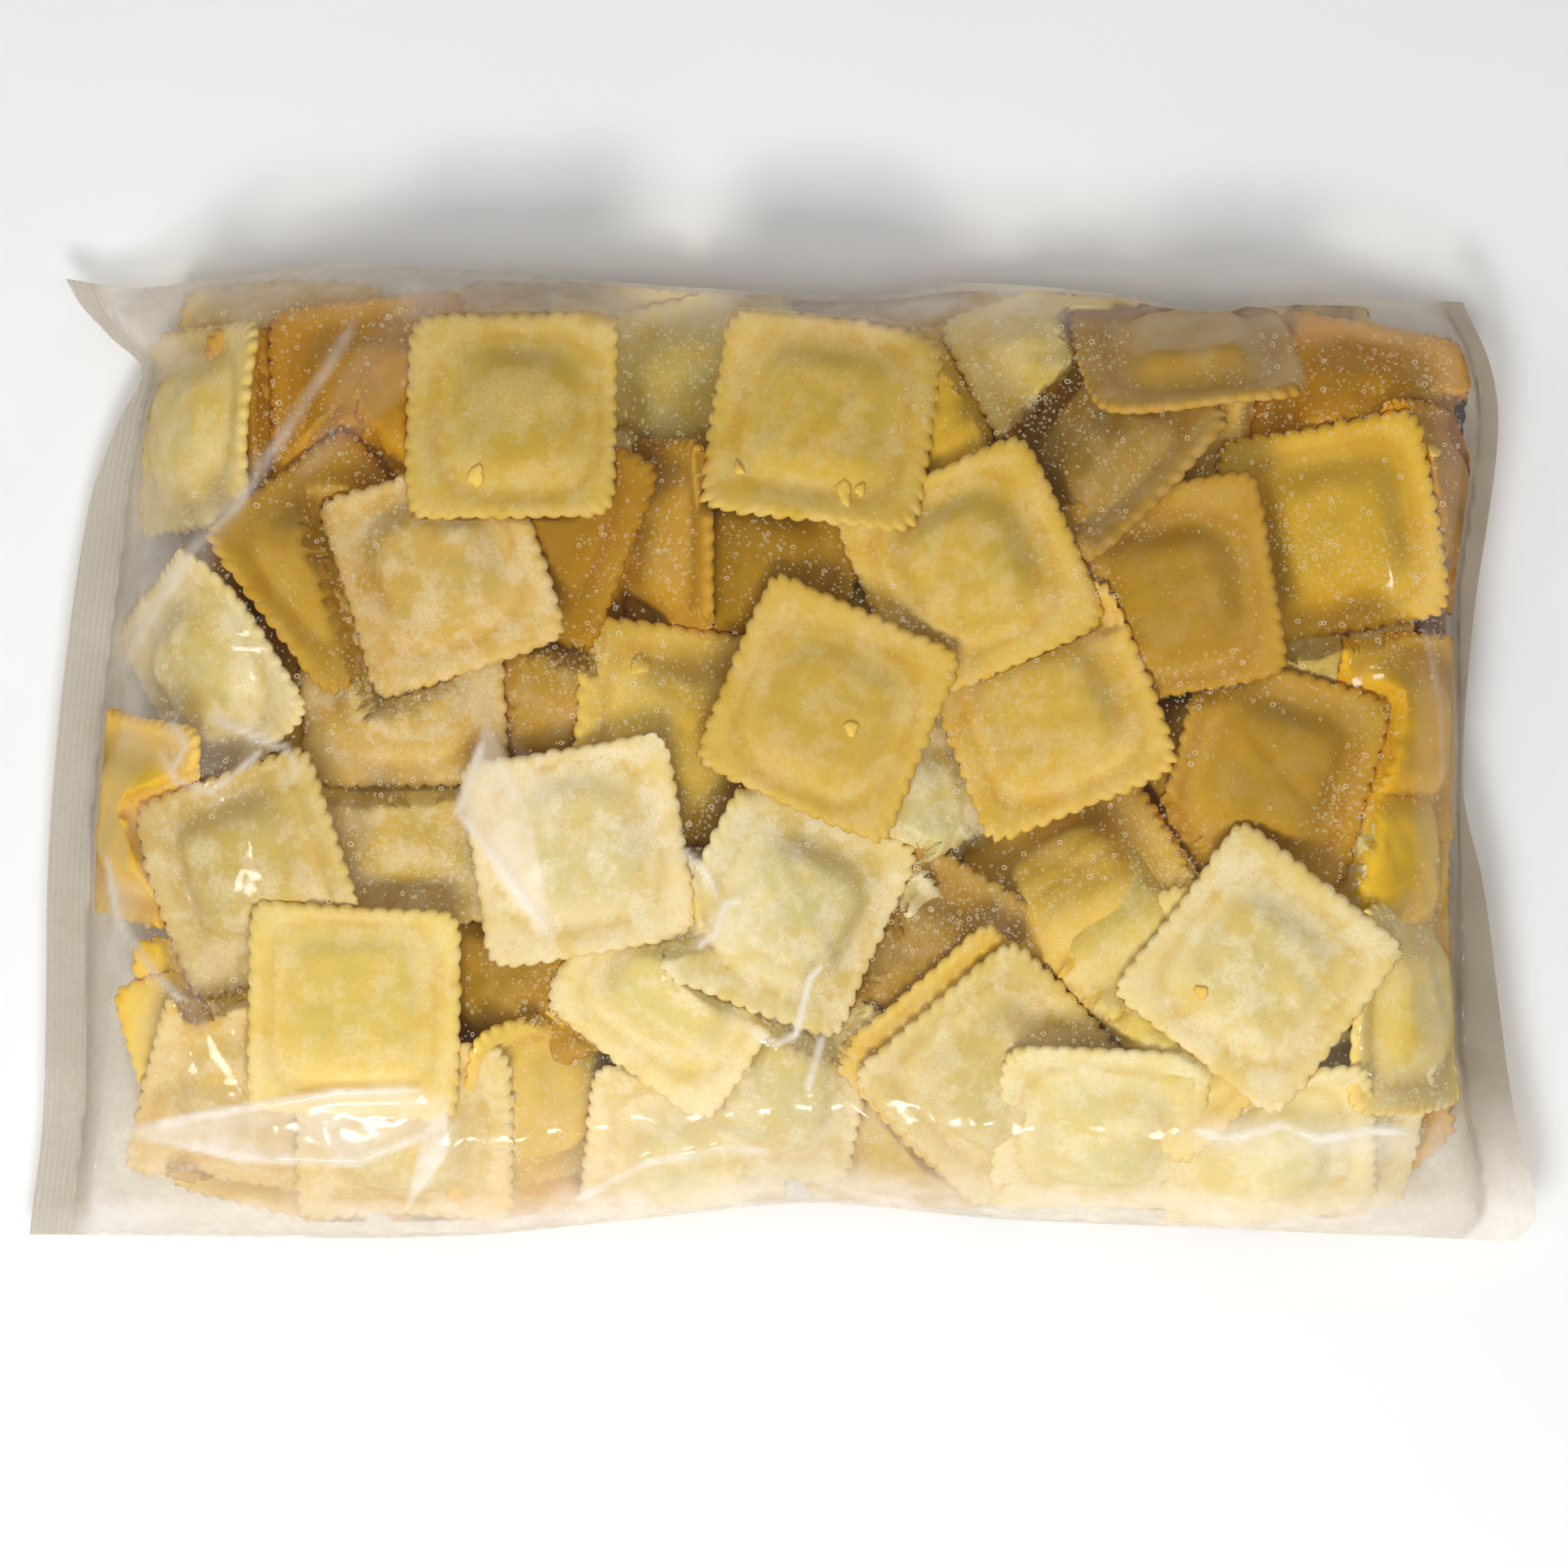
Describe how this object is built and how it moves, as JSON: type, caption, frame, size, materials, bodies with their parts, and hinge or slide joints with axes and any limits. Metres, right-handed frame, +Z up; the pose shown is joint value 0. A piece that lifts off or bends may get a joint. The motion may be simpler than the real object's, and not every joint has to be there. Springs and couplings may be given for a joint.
{
  "type": "sealed bag of ravioli",
  "caption": "Fluted square ravioli in a clear sealed film bag lying flat, with a crimped seal at one end and a folded fin at the other.",
  "frame": {"origin": "centre of the bag's flat underside, on the surface it lies on", "axes": "+X along the bag from the crimped seal to the folded fin, +Y across it, +Z up through the film that faces the viewer"},
  "size_m": [0.3199, 0.2071, 0.05],
  "materials": {
    "pasta": "soft egg dough with a dull sheen and a floury bloom",
    "film": "clear glossy plastic film, slightly milky where it stands off the pasta",
    "water": "clear drops of condensation on the inside of the film"
  },
  "bodies": {
    "root": {"bag": "pasta"}
  },
  "joints": []
}
